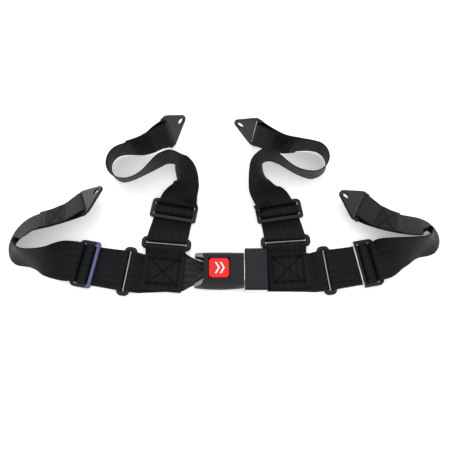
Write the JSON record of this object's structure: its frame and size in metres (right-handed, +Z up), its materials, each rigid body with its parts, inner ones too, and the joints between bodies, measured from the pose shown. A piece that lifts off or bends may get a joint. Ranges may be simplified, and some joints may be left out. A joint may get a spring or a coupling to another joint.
{
  "type": "racing harness",
  "caption": "Racing harness: push-button buckle on a lap belt, shoulder straps with sliding adjusters, and a bolt-in anchor plate on each strap.",
  "frame": {"origin": "on the underside of the buckle, on the surface that the harness lies on", "axes": "+X along the lap belt from the buckle to the tongue, +Y towards the shoulder straps, +Z up"},
  "size_m": [0.5487, 0.2375, 0.0617],
  "materials": {
    "webbing": "woven, slight sheen",
    "thread": "matt",
    "painted_steel": "satin black",
    "bare_steel": "brushed",
    "cover_plastic": "fine grain",
    "tongue_paint": "satin",
    "button_red": "satin",
    "symbol_white": "printed"
  },
  "bodies": {
    "buckle": {"buckle_top_cover": "cover_plastic", "buckle_base_cover": "cover_plastic", "buckle_frame": "bare_steel", "latch_leaf": "bare_steel", "latch_rivets": "bare_steel", "button_spring": "bare_steel", "ejector_spring": "bare_steel", "cover_screws": "bare_steel", "left_lap_webbing": "webbing", "left_shoulder_patch": "webbing", "left_patch_stitching": "thread"},
    "button": {"release_button": "button_red", "button_symbol": "symbol_white"},
    "ejector": {"ejector": "cover_plastic"},
    "tongue": {"tongue_blade": "bare_steel", "tongue_cover": "tongue_paint", "tongue_base": "bare_steel", "right_lap_webbing": "webbing", "right_shoulder_patch": "webbing", "right_patch_stitching": "thread"},
    "left_lap_ring": {"left_lap_ring": "painted_steel"},
    "left_lap_strap": {"left_lap_strap": "webbing"},
    "left_lap_adjuster": {"left_lap_adjuster": "painted_steel"},
    "left_lap_anchor": {"left_lap_anchor": "painted_steel"},
    "right_lap_ring": {"right_lap_ring": "painted_steel"},
    "right_lap_strap": {"right_lap_strap": "webbing"},
    "right_lap_adjuster": {"right_lap_adjuster": "painted_steel"},
    "right_lap_anchor": {"right_lap_anchor": "painted_steel"},
    "left_shoulder_ring": {"left_shoulder_ring": "painted_steel"},
    "left_shoulder_strap": {"left_shoulder_strap": "webbing"},
    "left_shoulder_adjuster": {"left_shoulder_adjuster": "painted_steel"},
    "left_shoulder_anchor": {"left_shoulder_anchor": "painted_steel"},
    "right_shoulder_ring": {"right_shoulder_ring": "painted_steel"},
    "right_shoulder_strap": {"right_shoulder_strap": "webbing"},
    "right_shoulder_adjuster": {"right_shoulder_adjuster": "painted_steel"},
    "right_shoulder_anchor": {"right_shoulder_anchor": "painted_steel"}
  },
  "joints": [
    {"name": "button_press", "type": "slide", "parent": "buckle", "child": "button", "axis": [0, 0, -1], "range_m": [0, 0.003], "stiffness_N_per_m": 600, "deforming": ["button_spring", "latch_leaf"]},
    {"name": "tongue_withdraw", "type": "slide", "parent": "buckle", "child": "tongue", "axis": [1, 0, 0], "range_m": [0, 0.045]},
    {"name": "ejector_slide", "type": "slide", "parent": "buckle", "child": "ejector", "axis": [1, 0, 0], "range_m": [0, 0.009], "deforming": ["ejector_spring"]},
    {"name": "left_lap_ring_hinge", "type": "hinge", "parent": "buckle", "child": "left_lap_ring", "pos_m": [-0.1128, -0.00073, 0.0049], "axis": [0.1392, 0.9903, 0], "range_deg": [0, 25]},
    {"name": "left_lap_strap_hinge", "type": "hinge", "parent": "left_lap_ring", "child": "left_lap_strap", "pos_m": [-0.1232, 0.00073, 0.0049], "axis": [0.1392, 0.9903, 0], "range_deg": [0, 40]},
    {"name": "left_lap_adjuster_slide", "type": "slide", "parent": "left_lap_strap", "child": "left_lap_adjuster", "axis": [0.9848, -0.1736, 0], "range_m": [0, 0.01], "deforming": ["left_lap_strap"]},
    {"name": "left_lap_anchor_hinge", "type": "hinge", "parent": "left_lap_strap", "child": "left_lap_anchor", "pos_m": [-0.17799, 0.08309, 0.02095], "axis": [0.3367, -0.7125, 0.6157], "range_deg": [-20, 20]},
    {"name": "right_lap_ring_hinge", "type": "hinge", "parent": "tongue", "child": "right_lap_ring", "pos_m": [0.12479, 0.00036, 0.0049], "axis": [0.1219, -0.9925, 0], "range_deg": [0, 25]},
    {"name": "right_lap_strap_hinge", "type": "hinge", "parent": "right_lap_ring", "child": "right_lap_strap", "pos_m": [0.13521, 0.00164, 0.0049], "axis": [0.1219, -0.9925, 0], "range_deg": [0, 40]},
    {"name": "right_lap_adjuster_slide", "type": "slide", "parent": "right_lap_strap", "child": "right_lap_adjuster", "axis": [-0.9848, -0.1736, 0], "range_m": [0, 0.01], "deforming": ["right_lap_strap"]},
    {"name": "right_lap_anchor_hinge", "type": "hinge", "parent": "right_lap_strap", "child": "right_lap_anchor", "pos_m": [0.17786, 0.08047, 0.01734], "axis": [-0.4264, -0.7824, 0.454], "range_deg": [-20, 20]},
    {"name": "left_shoulder_ring_hinge", "type": "hinge", "parent": "buckle", "child": "left_shoulder_ring", "pos_m": [-0.07046, 0.02927, 0.0079], "axis": [0.9962, -0.0872, 0], "range_deg": [0, 25]},
    {"name": "left_shoulder_strap_hinge", "type": "hinge", "parent": "left_shoulder_ring", "child": "left_shoulder_strap", "pos_m": [-0.06954, 0.03973, 0.0079], "axis": [0.9962, -0.0872, 0], "range_deg": [0, 40]},
    {"name": "left_shoulder_adjuster_slide", "type": "slide", "parent": "left_shoulder_strap", "child": "left_shoulder_adjuster", "axis": [-0.1736, -0.9848, 0], "range_m": [0, 0.008], "deforming": ["left_shoulder_strap"]},
    {"name": "left_shoulder_anchor_hinge", "type": "hinge", "parent": "left_shoulder_strap", "child": "left_shoulder_anchor", "pos_m": [-0.07216, 0.17952, 0.03042], "axis": [-0.1202, 0.1242, 0.9849], "range_deg": [-20, 20]},
    {"name": "right_shoulder_ring_hinge", "type": "hinge", "parent": "tongue", "child": "right_shoulder_ring", "pos_m": [0.08037, 0.03226, 0.0079], "axis": [0.9976, 0.0698, 0], "range_deg": [0, 25]},
    {"name": "right_shoulder_strap_hinge", "type": "hinge", "parent": "right_shoulder_ring", "child": "right_shoulder_strap", "pos_m": [0.07963, 0.04274, 0.0079], "axis": [0.9976, 0.0698, 0], "range_deg": [0, 40]},
    {"name": "right_shoulder_adjuster_slide", "type": "slide", "parent": "right_shoulder_strap", "child": "right_shoulder_adjuster", "axis": [0.1564, -0.9877, 0], "range_m": [0, 0.008], "deforming": ["right_shoulder_strap"]},
    {"name": "right_shoulder_anchor_hinge", "type": "hinge", "parent": "right_shoulder_strap", "child": "right_shoulder_anchor", "pos_m": [0.04588, 0.17893, 0.03133], "axis": [0.0982, 0.0377, 0.9945], "range_deg": [-20, 20]}
  ],
  "couplings": [
    {"joint": "ejector_slide", "follows": "tongue_withdraw", "ratio": 0.2}
  ]
}
